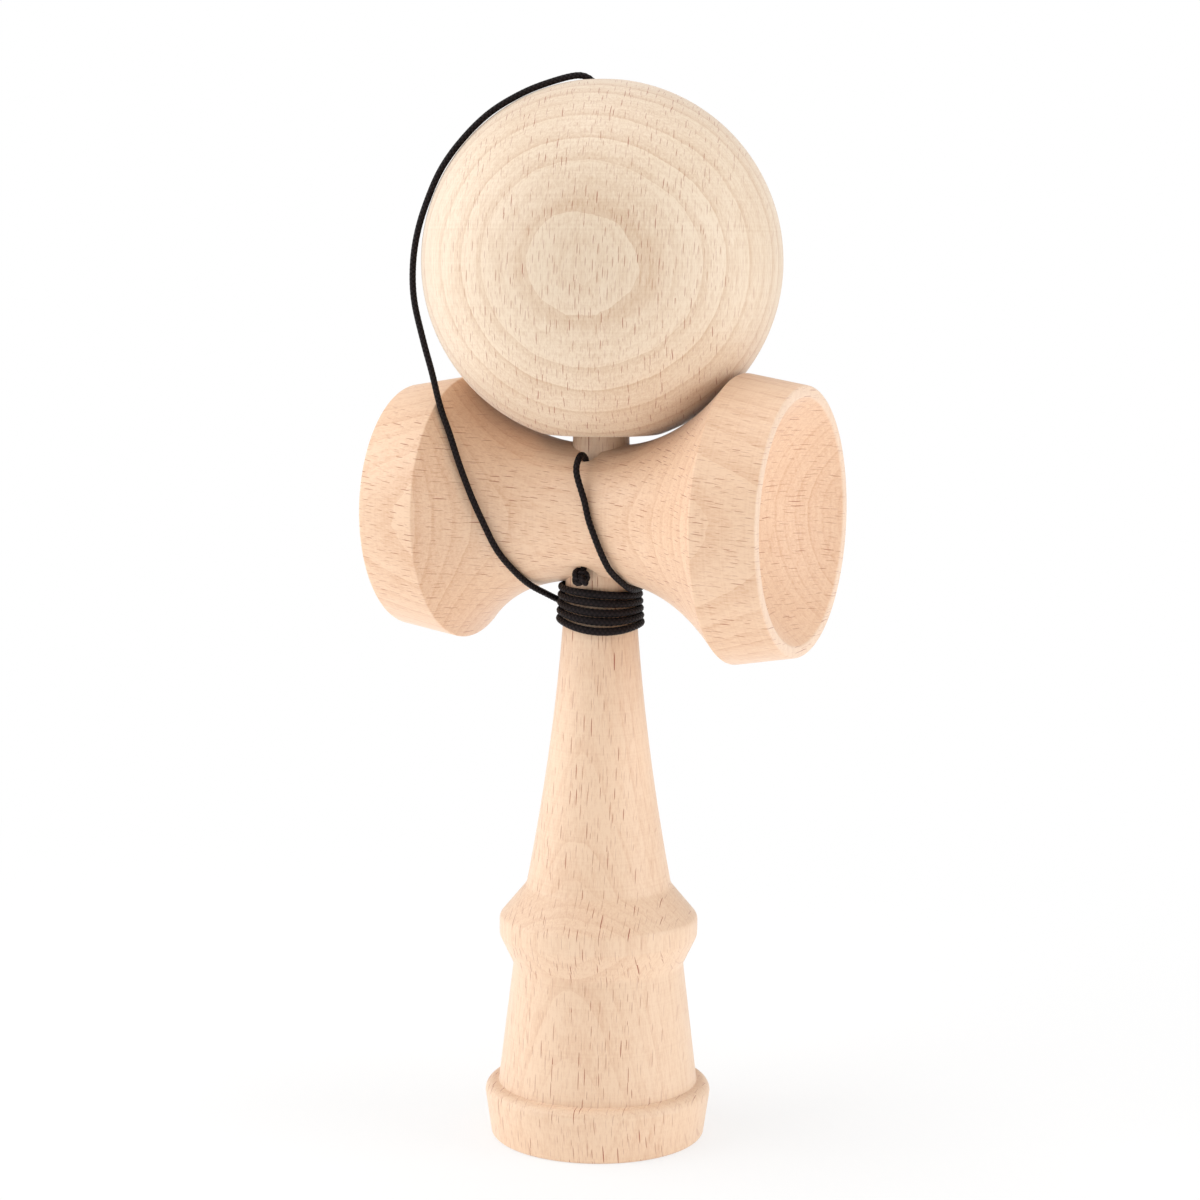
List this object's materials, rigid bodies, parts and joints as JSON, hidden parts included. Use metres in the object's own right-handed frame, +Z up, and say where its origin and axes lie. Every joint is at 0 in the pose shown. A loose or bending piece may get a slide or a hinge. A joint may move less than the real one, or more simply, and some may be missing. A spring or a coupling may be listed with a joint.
{
  "type": "cup and ball toy",
  "caption": "Cup and ball toy: a turned wooden handle with a spike and a base cup, a cross piece with a cup at each end, and a drilled ball on a black string, resting on the spike.",
  "frame": {"origin": "centre of the base ring, on the surface that the toy stands on", "axes": "+Z up along the handle's axis to the spike and the ball, +X along the cups' axis to the big cup, +Y away from the side on which the string comes out"},
  "size_m": [0.0714, 0.0604, 0.1811],
  "materials": {
    "handle_wood": "fine sanded, bare",
    "cups_wood": "fine sanded, bare",
    "ball_wood": "fine sanded, bare",
    "bead": "smooth",
    "string": "fine braid with a slight sheen"
  },
  "bodies": {
    "handle": {"handle": "handle_wood", "cross_cups": "cups_wood", "anchor_knot": "string", "string_anchor_run": "string", "string_front_run": "string", "string_winding": "string", "string_side_run": "string"},
    "bead": {"bead": "bead", "bead_knot": "string", "string_ball_run": "string"},
    "ball": {"ball": "ball_wood"}
  },
  "joints": [
    {"name": "ball_lift", "type": "slide", "parent": "handle", "child": "bead", "axis": [0, 0, 1], "range_m": [0, 0.036], "deforming": ["string_side_run"]},
    {"name": "ball_spin", "type": "hinge", "parent": "bead", "child": "ball", "pos_m": [0, 0, 0.14965], "axis": [0, 0, 1], "continuous": true}
  ]
}
